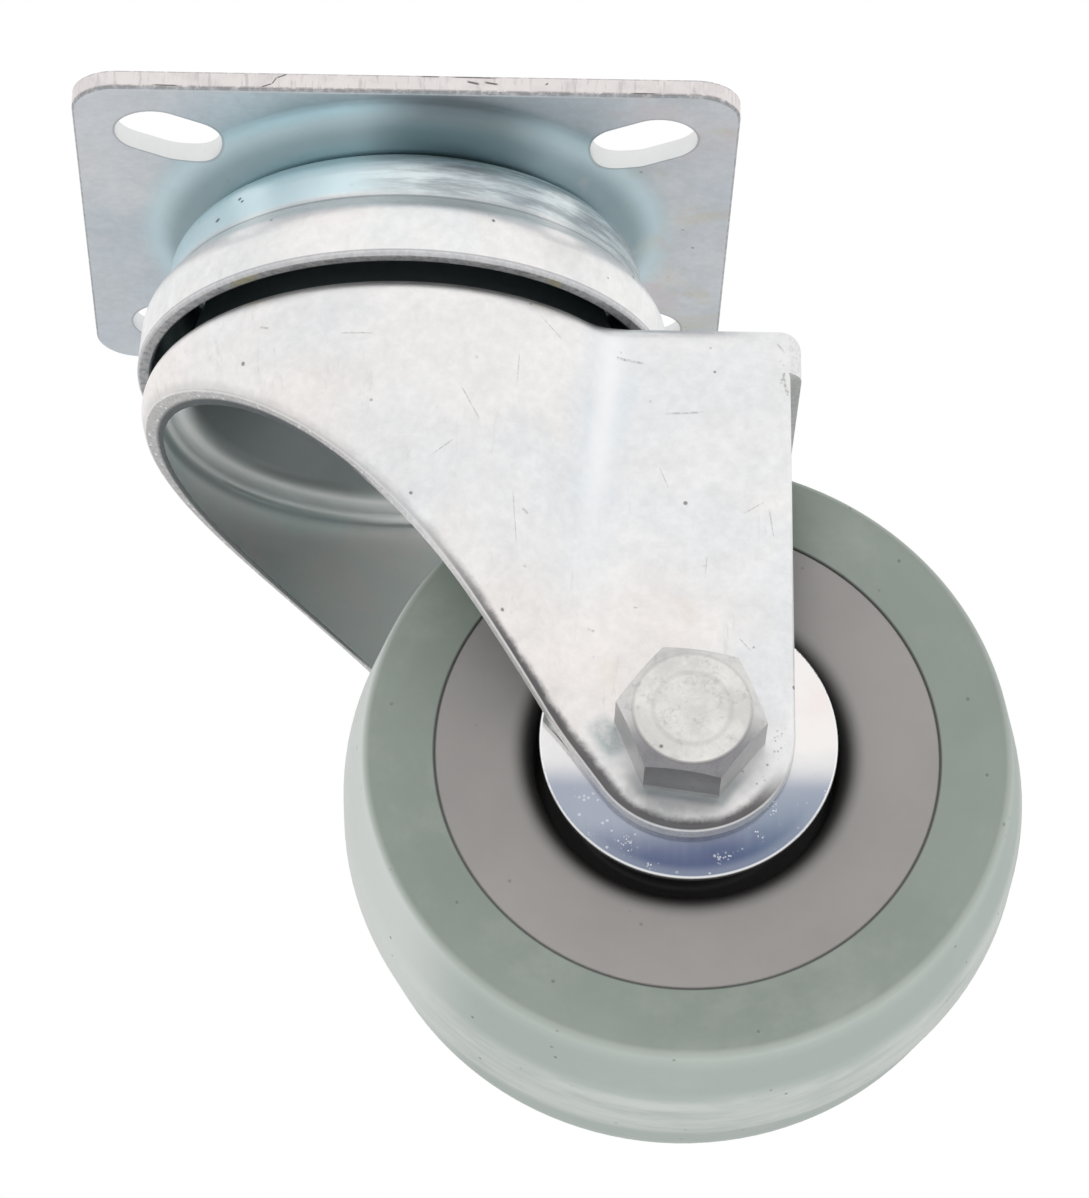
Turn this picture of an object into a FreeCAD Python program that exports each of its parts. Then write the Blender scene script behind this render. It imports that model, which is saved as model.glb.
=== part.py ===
import FreeCAD, Part
import math
import os
from FreeCAD import Vector

# Swivel castor with a slotted top plate, a double ball race head and a bolted wheel.
# Millimetres. The origin is the middle of the plate's top face, on the swivel axis.
# +Z is up, +X points from the swivel axis to the axle, and the bolt's head is at -Y.

# Top plate
plate_length = 100.0
plate_width = 85.0
plate_thickness = 3.0
plate_corner_radius = 7.0
plate_edge_roll = 0.6
slot_end_inset = 14.2
slot_side_inset = 13.7
slot_width = 11.7
slot_length = 16.8
slot_angle = 30.0
dish_side_margin = 4.0
dish_wall_run = 6.0
dish_depth = 4.5
dish_bend_radius = 4.0
dish_rim_land = 0.6

# Raceway ring, pressed from sheet, fixed under the plate's dish
ring_sheet = 2.2
ring_crease_reach = 1.2
ring_crease_drop = 10.0
ring_flare_reach = 3.2
ring_flare_drop = 13.2
ring_lip_reach = 0.6
ring_lip_drop = 21.8
ring_crease_bend = 3.0
ring_flare_bend = 6.0
ring_lip_roll = 0.5

# Ball rows and the running clearance beside balls and rollers
upper_ball_radius = 3.5
upper_ball_pitch_radius = 30.0
upper_ball_spacing = 0.6
lower_ball_radius = 3.0
lower_ball_pitch_radius = 18.0
lower_ball_spacing = 0.6
rolling_clearance = 0.1

# Fork, pressed from one sheet
fork_sheet = 2.5
fork_edge_roll = 0.8
crown_gap = 1.9
crown_top_bend = 0.8
crown_step_bend = 1.5
crown_groove_bend = 1.0
crown_groove_land = 0.5
crown_wall_lean = 4.5
crown_brim_bend = 1.2
crown_brim_land = 0.3
crown_brim_flat = 1.2
brim_gap = 2.2
hood_foot_reach = 3.0
hood_foot_shift = 8.5
hood_bend_radius = 1.5
leg_bend_radius = 0.7
hood_front_depth = 5.8
hood_front_margin = 2.0
crease_bend = 8.0
leg_slope = 54.7
leg_slope_length = 32.0
leg_end_radius = 15.3
rear_lip_reach = 1.8
rear_lip_depth = 8.0

# Kingpin, spacer and lower race cup
kingpin_radius = 6.0
kingpin_head_radius = 10.0
kingpin_head_height = 4.2
kingpin_rim_height = 1.2
kingpin_rim_bend = 0.8
kingpin_flat_radius = 5.5
kingpin_flat_bend = 3.0
rivet_head_radius = 9.5
rivet_head_height = 3.2
rivet_rim_height = 0.8
rivet_rim_bend = 1.2
rivet_flat_radius = 5.7
rivet_flat_bend = 2.0
spacer_wall = 2.0
spacer_clearance = 0.3
cup_sheet = 2.0
cup_lip_gap = 1.0
lower_groove_depth = 0.8

# Wheel, swivel offset and axle
trail = 42.4
wheel_radius = 50.0
wheel_width = 38.0
wheel_top_gap = 14.3
tread_band_width = 7.8
tread_edge_bend = 3.0
tyre_depth = 13.3
tyre_shoulder_drop = 3.0
tyre_corner_radius = 2.6
tyre_foot_height = 6.0
tyre_foot_bend = 8.0
hub_face_step = 1.0
hub_key_depth = 2.5
hub_key_width = 14.0
hub_recess_radius = 22.3
hub_recess_depth = 9.0
hub_recess_slope = 0.6
hub_recess_lip = 2.5
hub_boss_wall = 4.0
hub_edge_radius = 1.2
hub_joint_chamfer = 0.3
hub_boss_bend = 0.5
dust_disc_radius = 21.6
dust_disc_thickness = 1.0
dust_disc_edge_bend = 0.4
wheel_side_gap = 3.5
boss_end_gap = 0.6

# Roller bearing between the axle sleeve and the hub
sleeve_wall = 2.8
roller_radius = 1.9
roller_spacing = 1.9
cage_thickness = 1.6
cage_rim = 2.4
cage_end_gap = 3.6

# Axle bolt, nut and washer
bolt_radius = 6.0
bolt_clearance = 0.2
thread_clearance = 0.05
hex_wall = 3.5
hex_face_inset = 0.9
hex_chamfer_angle = 30.0
bolt_head_height = 8.5
bolt_head_turn = -8.0
nut_height = 10.0
nut_collar_height = 2.4
nut_collar_inset = 0.9
nut_collar_bend = 1.0
nut_turn = 10.0
nut_washer_radius = 12.0
nut_washer_thickness = 2.5
nut_insert_thickness = 1.6
nut_insert_sink = 0.6
bolt_point_length = 2.0
bolt_point_chamfer = 1.0

# Levels, radii and counts worked out from the sizes above
dish_mouth_radius = plate_width / 2 - dish_side_margin
dish_floor_radius = dish_mouth_radius - dish_wall_run
dish_floor_z = -plate_thickness - dish_depth
groove_radius = upper_ball_radius + rolling_clearance
ring_shoulder_radius = groove_radius + ring_sheet
ring_outer_radius = upper_ball_pitch_radius + ring_shoulder_radius
ring_crease_radius = ring_outer_radius + ring_crease_reach
ring_flare_radius = ring_crease_radius + ring_flare_reach
ring_lip_radius = ring_flare_radius + ring_lip_reach
upper_ball_z = dish_floor_z - ring_shoulder_radius
ring_floor_z = dish_floor_z - ring_sheet
ring_lip_z = dish_floor_z - ring_lip_drop
crown_top_z = ring_floor_z - crown_gap
crown_under_z = crown_top_z - fork_sheet
brim_z = ring_lip_z - brim_gap
web_under_z = brim_z - fork_sheet
axle_z = web_under_z - wheel_top_gap - wheel_radius
leg_inner_y = wheel_width / 2 + wheel_side_gap
leg_outer_y = leg_inner_y + fork_sheet
crown_foot_radius = upper_ball_pitch_radius + crown_groove_land + crown_wall_lean
hood_radius = crown_foot_radius + crown_brim_flat + hood_bend_radius + fork_sheet
crown_brim_radius = crown_foot_radius + crown_brim_flat - crown_brim_land
hood_foot_radius = leg_outer_y + hood_foot_reach
fork_rear_x = trail + leg_end_radius
fork_foot_z = axle_z - leg_end_radius - fork_sheet
lip_foot_z = brim_z - rear_lip_depth
lower_groove_radius = lower_ball_radius + rolling_clearance
lower_ball_z = crown_under_z + lower_groove_depth - lower_groove_radius
cup_floor_z = lower_ball_z - lower_groove_radius + lower_groove_depth
spacer_radius = kingpin_radius + spacer_wall
sleeve_radius = bolt_radius + bolt_clearance + sleeve_wall
sleeve_length = 2 * (leg_inner_y - dust_disc_thickness)
roller_pitch_radius = sleeve_radius + rolling_clearance + roller_radius
roller_length = sleeve_length - 2 * (cage_rim + cage_end_gap)
hub_bore_radius = roller_pitch_radius + roller_radius + rolling_clearance
hub_boss_radius = hub_bore_radius + hub_boss_wall
hub_boss_width = sleeve_length - 2 * boss_end_gap
hub_width = wheel_width - 2 * hub_face_step
hub_radius = wheel_radius - tyre_depth
tyre_shoulder_radius = wheel_radius - tyre_shoulder_drop
hex_across_flats = 2 * (bolt_radius + hex_wall)


def full_count(pitch_radius, radius, spacing):
    """How many balls or rollers go round a row, with at least the spacing between them."""
    return int(2 * math.pi * pitch_radius / (2 * radius + spacing))


def rounded_path(corners):
    """Edges through the corners (across, up, radius), with a tangent arc at each radius."""
    edges = []
    start = Vector(corners[0][0], 0, corners[0][1])
    for index in range(1, len(corners)):
        corner = Vector(corners[index][0], 0, corners[index][1])
        radius = corners[index][2]
        if radius <= 0 or index == len(corners) - 1:
            edges.append(Part.LineSegment(start, corner).toShape())
            start = corner
            continue
        following = Vector(corners[index + 1][0], 0, corners[index + 1][1])
        back = Vector(corners[index - 1][0], 0, corners[index - 1][1]) - corner
        back.normalize()
        onward = following - corner
        onward.normalize()
        half_angle = back.getAngle(onward) / 2
        reach = radius / math.tan(half_angle)
        middle = back + onward
        middle.normalize()
        centre = corner + middle * (radius / math.sin(half_angle))
        arc_start = corner + back * reach
        arc_end = corner + onward * reach
        arc_middle = centre - middle * radius
        if arc_start.distanceToPoint(start) > 1e-6:
            edges.append(Part.LineSegment(start, arc_start).toShape())
        edges.append(Part.Arc(arc_start, arc_middle, arc_end).toShape())
        start = arc_end
    return edges


def offset_corners(corners, distance):
    """The same path moved to its left by a distance, with its bends kept concentric."""
    moved = []
    for index, (across, up, radius) in enumerate(corners):
        before = corners[max(index - 1, 0)]
        after = corners[min(index + 1, len(corners) - 1)]
        inward = Vector(across - before[0], 0, up - before[1])
        outward = Vector(after[0] - across, 0, after[1] - up)
        if inward.Length == 0:
            inward = outward
        if outward.Length == 0:
            outward = inward
        inward.normalize()
        outward.normalize()
        left_in = Vector(-inward.z, 0, inward.x)
        left_out = Vector(-outward.z, 0, outward.x)
        shift = (left_in + left_out) * (distance / (1 + left_in.dot(left_out)))
        turn = inward.x * outward.z - inward.z * outward.x
        bend = radius - distance if turn > 0 else radius + distance
        moved.append((across + shift.x, up + shift.z, bend if radius > 0 else 0))
    return moved


def revolved(corners):
    """A solid turned about Z from a closed outline of corners (radius, height, bend)."""
    closed = rounded_path(list(corners) + [corners[0]])
    face = Part.Face(Part.Wire(closed))
    return face.revolve(Vector(0, 0, 0), Vector(0, 0, 1), 360)


def sheet_turned(corners, thickness):
    """A pressed sheet turned about Z, with its thickness to the left of the path."""
    far_side = offset_corners(corners, thickness)
    return revolved(list(corners) + far_side[::-1])


def tube(outer_radius, inner_radius, low_z, high_z):
    """A plain ring about Z."""
    height = high_z - low_z
    outer = Part.makeCylinder(outer_radius, height, Vector(0, 0, low_z))
    return outer.cut(Part.makeCylinder(inner_radius, height, Vector(0, 0, low_z)))


def around(shape, count):
    """Copies of a shape, evenly spaced about Z, as one group of separate solids."""
    copies = []
    for index in range(count):
        copy = shape.copy()
        copy.rotate(Vector(0, 0, 0), Vector(0, 0, 1), 360 * index / count)
        copies.append(copy)
    return Part.makeCompound(copies)


def on_axle(shape):
    """Lays a shape that was made about Z along the axle, with its +Z toward +Y."""
    laid = shape.copy()
    laid.rotate(Vector(0, 0, 0), Vector(1, 0, 0), -90)
    laid.translate(Vector(trail, 0, axle_z))
    return laid


def hexagon_block(low_z, height, turn):
    """A hexagon head about Z, with its corners turned back by a shallow cone."""
    corner_radius = hex_across_flats / math.sqrt(3)
    corners = []
    for index in range(7):
        angle = math.radians(turn + 60 * index)
        corner_x = corner_radius * math.cos(angle)
        corner_y = corner_radius * math.sin(angle)
        corners.append(Vector(corner_x, corner_y, low_z))
    block = Part.Face(Part.makePolygon(corners)).extrude(Vector(0, 0, height))
    face_radius = hex_across_flats / 2 - hex_face_inset
    drop = (corner_radius - face_radius) * math.tan(math.radians(hex_chamfer_angle))
    top_z = low_z + height
    envelope = revolved([(0, low_z, 0),
                         (corner_radius, low_z, 0),
                         (corner_radius, top_z - drop, 0),
                         (face_radius, top_z, 0),
                         (0, top_z, 0)])
    return block.common(envelope)


def slot_cutter(side_x, side_y):
    """The through slot at one corner of the plate, turned toward the plate's middle."""
    straight = slot_length - slot_width
    end_radius = slot_width / 2
    height = plate_thickness + dish_depth
    bar = Part.makeBox(straight, slot_width, 2 * height, Vector(-straight / 2, -end_radius, -height))
    ends = [Part.makeCylinder(end_radius, 2 * height, Vector(side * straight / 2, 0, -height))
            for side in (-1, 1)]
    slot = bar.fuse(ends).removeSplitter()
    slot.rotate(Vector(0, 0, 0), Vector(0, 0, 1), side_x * side_y * slot_angle)
    centre_x = plate_length / 2 - slot_end_inset
    centre_y = plate_width / 2 - slot_side_inset
    slot.translate(Vector(side_x * centre_x, side_y * centre_y, 0))
    return slot


def top_plate():
    """The mounting plate: a rounded rectangle with a pressed dish and four slots."""
    blank = Part.makeBox(plate_length, plate_width, plate_thickness,
                         Vector(-plate_length / 2, -plate_width / 2, -plate_thickness))
    upright = [edge for edge in blank.Edges if abs(edge.tangentAt(0).z) > 0.9]
    blank = blank.makeFillet(plate_corner_radius, upright)
    outline = [edge for edge in blank.Edges if edge.BoundBox.ZMax < -plate_thickness + 1e-3]
    blank = blank.makeFillet(plate_edge_roll, outline)
    wall_slope = math.atan2(dish_depth, dish_mouth_radius - dish_floor_radius)
    mouth_bend = dish_bend_radius + plate_thickness
    opening_radius = dish_mouth_radius + mouth_bend * math.tan(wall_slope / 2) + dish_rim_land
    opening = Part.makeCylinder(opening_radius, plate_thickness, Vector(0, 0, -plate_thickness))
    dish = sheet_turned([(kingpin_radius, dish_floor_z, 0),
                         (dish_floor_radius, dish_floor_z, dish_bend_radius / 2),
                         (dish_mouth_radius, -plate_thickness, mouth_bend),
                         (opening_radius, -plate_thickness, 0)], plate_thickness)
    plate = blank.cut(opening).fuse(dish).removeSplitter()
    for side_x in (-1, 1):
        for side_y in (-1, 1):
            plate = plate.cut(slot_cutter(side_x, side_y))
    return plate


def raceway_ring():
    """The upper race: a flat floor, a rounded shoulder round the balls and a flared skirt."""
    ring = sheet_turned([(ring_lip_radius, ring_lip_z, 0),
                         (ring_flare_radius, dish_floor_z - ring_flare_drop, ring_flare_bend),
                         (ring_crease_radius, dish_floor_z - ring_crease_drop, ring_crease_bend),
                         (ring_outer_radius, dish_floor_z, ring_shoulder_radius),
                         (kingpin_radius, dish_floor_z, 0)], ring_sheet)
    lip = [edge for edge in ring.Edges
           if edge.BoundBox.ZMax < ring_lip_z + ring_sheet / 2 and edge.BoundBox.XLength > ring_lip_radius]
    return ring.makeFillet(ring_lip_roll, lip)


def ball_row(radius, pitch_radius, height, spacing):
    """A full row of balls about the swivel axis."""
    ball = Part.makeSphere(radius, Vector(pitch_radius, 0, height))
    return around(ball, full_count(pitch_radius, radius, spacing))


def crown():
    """The raised middle of the fork's head: a step for the ball groove, a wall and the brim."""
    groove_floor_z = upper_ball_z - groove_radius
    step_x = upper_ball_pitch_radius - groove_radius
    groove_foot_x = upper_ball_pitch_radius + crown_groove_land
    above = [(0, crown_top_z, 0),
             (step_x, crown_top_z, crown_top_bend),
             (step_x, groove_floor_z, groove_radius),
             (groove_foot_x, groove_floor_z, crown_groove_bend),
             (crown_foot_radius, brim_z, crown_brim_bend),
             (crown_brim_radius, brim_z, 0)]
    below = [(0, crown_under_z, 0),
             (step_x - fork_sheet, crown_under_z, crown_step_bend),
             (groove_foot_x - fork_sheet, groove_floor_z - fork_sheet, crown_groove_bend + fork_sheet),
             (crown_foot_radius - fork_sheet, web_under_z, crown_brim_bend + fork_sheet),
             (crown_brim_radius, web_under_z, 0)]
    return revolved(above + below[::-1])


def hood_cone(inset):
    """The round front of the fork as a leaning cone, cut off flat at the brim."""
    rise = hood_radius
    drop = brim_z - fork_foot_z
    widening = (hood_radius - hood_foot_radius) / drop
    lean = hood_foot_shift / drop
    top = Vector(-lean * rise, 0, brim_z + rise)
    foot = Vector(hood_foot_shift, 0, fork_foot_z)
    axis = foot - top
    cone = Part.makeCone(hood_radius + widening * rise - inset, hood_foot_radius - inset,
                         axis.Length, top, axis)
    block = 4 * hood_radius
    below = Part.makeBox(block, block, block, Vector(-block / 2, -block / 2, brim_z - inset - block))
    return cone.common(below)


def leg_block(inset):
    """The filled form between the two flat legs, with the rear lip standing out at its top."""
    half_width = leg_outer_y - inset
    top_z = brim_z - inset
    head = Part.makeBox(fork_rear_x + rear_lip_reach - inset, 2 * half_width, top_z - lip_foot_z,
                        Vector(0, -half_width, lip_foot_z))
    legs = Part.makeBox(fork_rear_x, 2 * half_width, lip_foot_z - fork_foot_z,
                        Vector(0, -half_width, fork_foot_z))
    return head.fuse(legs).removeSplitter()


def rear_opening():
    """The gap between the legs under the rear lip, where the wheel stands out."""
    return Part.makeBox(2 * leg_end_radius, 2 * leg_inner_y, lip_foot_z - fork_foot_z,
                        Vector(trail, -leg_inner_y, fork_foot_z))


def bent_rim(body, inset):
    """The body with its top edge bent: wide round the hood, tight along the legs and rear."""
    wide = hood_bend_radius + fork_sheet - inset
    tight = leg_bend_radius + fork_sheet - inset
    bends = []
    for number, edge in enumerate(body.Edges, 1):
        box = edge.BoundBox
        on_top = box.ZMin > brim_z - inset - 1e-3
        at_lip_corner = box.XMin > fork_rear_x - inset + 1e-3 and box.ZMin > lip_foot_z - 1e-3
        if on_top and box.XMin < 0:
            bends.append((number, wide, wide))
        elif on_top and box.XMax < trail and box.YLength > 1e-3:
            rearward = edge.lastVertex(True).X > edge.firstVertex(True).X
            bends.append((number, wide, tight) if rearward else (number, tight, wide))
        elif on_top or (at_lip_corner and box.ZLength > 1):
            bends.append((number, tight, tight))
    document = FreeCAD.newDocument()
    base = document.addObject("Part::Feature", "base")
    base.Shape = body
    bent = document.addObject("Part::Fillet", "bent")
    bent.Base = base
    bent.Edges = bends
    document.recompute()
    shape = bent.Shape.copy()
    FreeCAD.closeDocument(document.Name)
    return shape


def hood_block(inset):
    """The filled form of the fork: soft creases beside the legs, then the bent rim."""
    half_width = leg_outer_y - inset
    body = hood_cone(inset).fuse(leg_block(inset)).removeSplitter()
    creases = [edge for edge in body.Edges
               if 1 < edge.BoundBox.XMin and edge.BoundBox.XMax < fork_rear_x - 1
               and edge.BoundBox.ZLength > wheel_radius
               and abs(abs(edge.BoundBox.Center.y) - half_width) < 1e-3]
    return bent_rim(body.makeFillet(crease_bend + inset, creases), inset)


def fork_side_outline():
    """The side view of the fork, from the hood's front along the sloped leg round the axle."""
    slope = math.radians(leg_slope)
    along = Vector(math.cos(slope), 0, -math.sin(slope))
    axle = Vector(trail, 0, axle_z)
    touch = axle + Vector(-math.sin(slope), 0, -math.cos(slope)) * leg_end_radius
    knee = touch - along * leg_slope_length
    front = Vector(-hood_radius - hood_front_margin, 0, brim_z - hood_front_depth)
    chord = knee - front
    spread = slope - math.atan2(front.z - knee.z, knee.x - front.x)
    upward = Vector(-chord.z, 0, chord.x)
    upward.normalize()
    middle = (front + knee) * 0.5 + upward * (chord.Length / 2 * math.tan(spread / 2))
    turned = math.pi / 4 - slope / 2
    bottom = axle + Vector(math.sin(turned), 0, -math.cos(turned)) * leg_end_radius
    rear = Vector(fork_rear_x, 0, axle_z)
    rear_top = Vector(fork_rear_x, 0, lip_foot_z)
    lip_foot = rear_top + Vector(2 * rear_lip_reach, 0, 0)
    roof_z = crown_top_z + fork_sheet
    roof_rear = Vector(lip_foot.x, 0, roof_z)
    roof_front = Vector(front.x, 0, roof_z)
    return Part.Wire([
        Part.Arc(front, middle, knee).toShape(),
        Part.LineSegment(knee, touch).toShape(),
        Part.Arc(touch, bottom, rear).toShape(),
        Part.LineSegment(rear, rear_top).toShape(),
        Part.LineSegment(rear_top, lip_foot).toShape(),
        Part.LineSegment(lip_foot, roof_rear).toShape(),
        Part.LineSegment(roof_rear, roof_front).toShape(),
        Part.LineSegment(roof_front, front).toShape()])


def rolled_edge(hood):
    """The hood with its outer cut edge rolled, from the front of the hood round each leg's foot."""
    cut_edges = [edge for edge in hood.Edges
                 if abs(abs(edge.BoundBox.Center.y) - leg_outer_y) < 1e-3
                 and edge.BoundBox.YLength < 1e-3 and edge.BoundBox.ZMax < lip_foot_z + 1e-3
                 and edge.BoundBox.XLength > 1]
    return hood.makeFillet(fork_edge_roll, cut_edges)


def fork():
    """The pressed fork: crown, hood and legs in one sheet, holed for the kingpin and the bolt."""
    hood = hood_block(0).cut(hood_block(fork_sheet))
    breadth = 2 * (hood_radius + leg_outer_y)
    side_block = Part.Face(fork_side_outline()).extrude(Vector(0, breadth, 0))
    side_block.translate(Vector(0, -breadth / 2, 0))
    hood = rolled_edge(hood.common(side_block).cut(rear_opening()))
    seat = Part.makeCylinder(crown_brim_radius, 3 * fork_sheet, Vector(0, 0, web_under_z - fork_sheet))
    body = hood.cut(seat).fuse(crown()).removeSplitter()
    body = body.cut(lower_groove_ring())
    pin_hole = Part.makeCylinder(spacer_radius + spacer_clearance, 4 * fork_sheet,
                                 Vector(0, 0, crown_under_z - fork_sheet))
    axle_hole = Part.makeCylinder(bolt_radius + bolt_clearance, 4 * leg_outer_y,
                                  Vector(0, 0, -2 * leg_outer_y))
    return body.cut(pin_hole).cut(on_axle(axle_hole)).removeSplitter()


def lower_groove_ring():
    """The round path of the lower balls, as the solid that presses their groove."""
    return Part.makeTorus(lower_ball_pitch_radius, lower_groove_radius, Vector(0, 0, lower_ball_z))


def lower_race_cup():
    """The lower race: a pressed cup that the kingpin holds up against the lower balls."""
    lip_radius = lower_ball_pitch_radius + lower_groove_radius + cup_sheet
    lip_z = crown_under_z - cup_lip_gap
    under_z = lower_ball_z - lower_groove_radius - cup_sheet
    seat_z = cup_floor_z - cup_sheet
    body = revolved([(kingpin_radius, cup_floor_z, 0),
                     (lower_ball_pitch_radius, cup_floor_z, 0),
                     (lip_radius - cup_sheet, lip_z, 0),
                     (lip_radius, lip_z, 0),
                     (lip_radius, under_z, lower_groove_radius + cup_sheet),
                     (lower_ball_pitch_radius - lower_groove_radius, under_z, cup_sheet),
                     (lower_ball_pitch_radius - 2 * lower_groove_radius, seat_z, cup_sheet),
                     (kingpin_radius, seat_z, 0)])
    return body.cut(lower_groove_ring())


def kingpin():
    """The rivet that holds the head together, domed below and closed over in the dish."""
    head_top_z = cup_floor_z - cup_sheet
    head_foot_z = head_top_z - kingpin_head_height
    dish_top_z = dish_floor_z + plate_thickness
    rivet_top_z = dish_top_z + rivet_head_height
    return revolved([(0, head_foot_z, 0),
                     (kingpin_flat_radius, head_foot_z, kingpin_flat_bend),
                     (kingpin_head_radius, head_top_z - kingpin_rim_height, kingpin_rim_bend),
                     (kingpin_head_radius, head_top_z, 0),
                     (kingpin_radius, head_top_z, 0),
                     (kingpin_radius, dish_top_z, 0),
                     (rivet_head_radius, dish_top_z, 0),
                     (rivet_head_radius, dish_top_z + rivet_rim_height, rivet_rim_bend),
                     (rivet_flat_radius, rivet_top_z, rivet_flat_bend),
                     (0, rivet_top_z, 0)])


def tyre():
    """The rubber tyre: a crowned tread, upright walls and a rib keyed into the hub."""
    half_width = wheel_width / 2
    half_hub = hub_width / 2
    half_band = tread_band_width / 2
    half_key = hub_key_width / 2
    key_radius = hub_radius - hub_key_depth
    upper_half = [(wheel_radius, half_band, tread_edge_bend),
                  (tyre_shoulder_radius, half_width, tyre_corner_radius),
                  (hub_radius + tyre_foot_height, half_width, tyre_foot_bend),
                  (hub_radius, half_hub, 0),
                  (hub_radius, half_key, 0),
                  (key_radius, half_key, 0)]
    lower_half = [(across, -up, bend) for across, up, bend in upper_half[::-1]]
    return on_axle(revolved([(key_radius, 0, 0)] + lower_half + [(wheel_radius, 0, 0)] + upper_half))


def wheel_hub():
    """The moulded hub: a grooved rim, a dished face on each side and a bored boss."""
    half_hub = hub_width / 2
    half_key = hub_key_width / 2
    recess_z = half_hub - hub_recess_depth
    key_radius = hub_radius - hub_key_depth
    upper_half = [(key_radius, half_key, 0),
                  (hub_radius, half_key, 0),
                  (hub_radius, half_hub - hub_joint_chamfer, 0),
                  (hub_radius - hub_joint_chamfer, half_hub, 0),
                  (hub_recess_radius, half_hub, hub_recess_lip),
                  (hub_recess_radius - hub_recess_slope, recess_z, hub_edge_radius),
                  (hub_boss_radius, recess_z, hub_edge_radius),
                  (hub_boss_radius, hub_boss_width / 2, hub_boss_bend),
                  (hub_bore_radius, hub_boss_width / 2, 0)]
    lower_half = [(across, -up, bend) for across, up, bend in upper_half[::-1]]
    return on_axle(revolved([(hub_bore_radius, 0, 0)] + lower_half + [(key_radius, 0, 0)] + upper_half))


def axle_sleeve():
    """The steel sleeve that the bolt clamps and the rollers run on."""
    bore = bolt_radius + bolt_clearance
    return on_axle(tube(sleeve_radius, bore, -sleeve_length / 2, sleeve_length / 2))


def dust_disc(side):
    """A bright disc between the sleeve's end and one fork leg, with a turned outer edge."""
    inner_z = sleeve_length / 2
    disc = revolved([(bolt_radius + bolt_clearance, inner_z, 0),
                     (dust_disc_radius, inner_z, 0),
                     (dust_disc_radius, inner_z + dust_disc_thickness, dust_disc_edge_bend),
                     (bolt_radius + bolt_clearance, inner_z + dust_disc_thickness, 0)])
    if side < 0:
        disc.rotate(Vector(0, 0, 0), Vector(1, 0, 0), 180)
    return on_axle(disc)


def rollers():
    """The bearing's rollers, evenly spaced about the axle."""
    low_end = Vector(roller_pitch_radius, 0, -roller_length / 2)
    roller = Part.makeCylinder(roller_radius, roller_length, low_end)
    count = full_count(roller_pitch_radius, roller_radius, roller_spacing)
    return on_axle(around(roller, count))


def roller_cage():
    """The thin cage that keeps the rollers apart, with one window for each roller."""
    half_length = roller_length / 2 + cage_rim
    cage = tube(roller_pitch_radius + cage_thickness / 2, roller_pitch_radius - cage_thickness / 2,
                -half_length, half_length)
    window_length = roller_length + 2 * rolling_clearance
    window = Part.makeCylinder(roller_radius + rolling_clearance, window_length,
                               Vector(roller_pitch_radius, 0, -window_length / 2))
    count = full_count(roller_pitch_radius, roller_radius, roller_spacing)
    return on_axle(cage.cut(around(window, count)))


def axle_bolt():
    """The hexagon bolt through the fork, with its head on the -Y leg."""
    head = hexagon_block(leg_outer_y, bolt_head_height, 0)
    head.rotate(Vector(0, 0, 0), Vector(1, 0, 0), 180)
    head.rotate(Vector(0, 0, 0), Vector(0, 0, 1), -bolt_head_turn)
    end_z = leg_outer_y + nut_washer_thickness + nut_height + nut_collar_height + bolt_point_length
    shank = revolved([(0, -leg_outer_y, 0),
                      (bolt_radius, -leg_outer_y, 0),
                      (bolt_radius, end_z - bolt_point_chamfer, 0),
                      (bolt_radius - bolt_point_chamfer, end_z, 0),
                      (0, end_z, 0)])
    return on_axle(head.fuse(shank).removeSplitter())


def nut_washer():
    """The washer between the nut and the +Y leg."""
    return on_axle(tube(nut_washer_radius, bolt_radius + bolt_clearance, leg_outer_y,
                        leg_outer_y + nut_washer_thickness))


def axle_nut():
    """The lock nut, with a round collar that is closed over its insert."""
    low_z = leg_outer_y + nut_washer_thickness
    collar_radius = hex_across_flats / 2 - nut_collar_inset
    collar_z = low_z + nut_height
    top_z = collar_z + nut_collar_height
    collar = revolved([(0, low_z, 0),
                       (collar_radius, low_z, 0),
                       (collar_radius, top_z, nut_collar_bend),
                       (0, top_z, 0)])
    bore = Part.makeCylinder(bolt_radius + thread_clearance, 2 * nut_height, Vector(0, 0, low_z))
    seat = tube(bolt_radius + nut_insert_thickness, bolt_radius,
                collar_z - nut_insert_sink, top_z - nut_insert_sink)
    nut = hexagon_block(low_z, nut_height, nut_turn).fuse(collar).removeSplitter()
    return on_axle(nut.cut(bore).cut(seat))


def nut_insert():
    """The nylon ring that grips the bolt's thread."""
    collar_z = leg_outer_y + nut_washer_thickness + nut_height
    low_z = collar_z - nut_insert_sink
    return on_axle(tube(bolt_radius + nut_insert_thickness, bolt_radius + thread_clearance / 2,
                        low_z, low_z + nut_collar_height))


def kingpin_spacer():
    """The collar on the kingpin that sets the two ball rows' running play."""
    return tube(spacer_radius, kingpin_radius, cup_floor_z, ring_floor_z)


def write(name, shape):
    """Writes one sub-part to its own file."""
    shape.exportStep("parts/" + name + ".step")


os.makedirs("parts", exist_ok=True)
write("top_plate", top_plate())
write("raceway_ring", raceway_ring())
write("upper_balls", ball_row(upper_ball_radius, upper_ball_pitch_radius,
                              upper_ball_z, upper_ball_spacing))
write("fork", fork())
write("lower_balls", ball_row(lower_ball_radius, lower_ball_pitch_radius,
                              lower_ball_z, lower_ball_spacing))
write("lower_race_cup", lower_race_cup())
write("kingpin", kingpin())
write("kingpin_spacer", kingpin_spacer())
write("axle_bolt", axle_bolt())
write("nut_washer", nut_washer())
write("axle_nut", axle_nut())
write("nut_insert", nut_insert())
write("axle_sleeve", axle_sleeve())
write("dust_disc_near", dust_disc(-1))
write("dust_disc_far", dust_disc(1))
write("roller_cage", roller_cage())
write("rollers", rollers())
write("wheel_hub", wheel_hub())
write("tyre", tyre())
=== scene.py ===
import math

import bpy
from mathutils import Matrix, Vector

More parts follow.
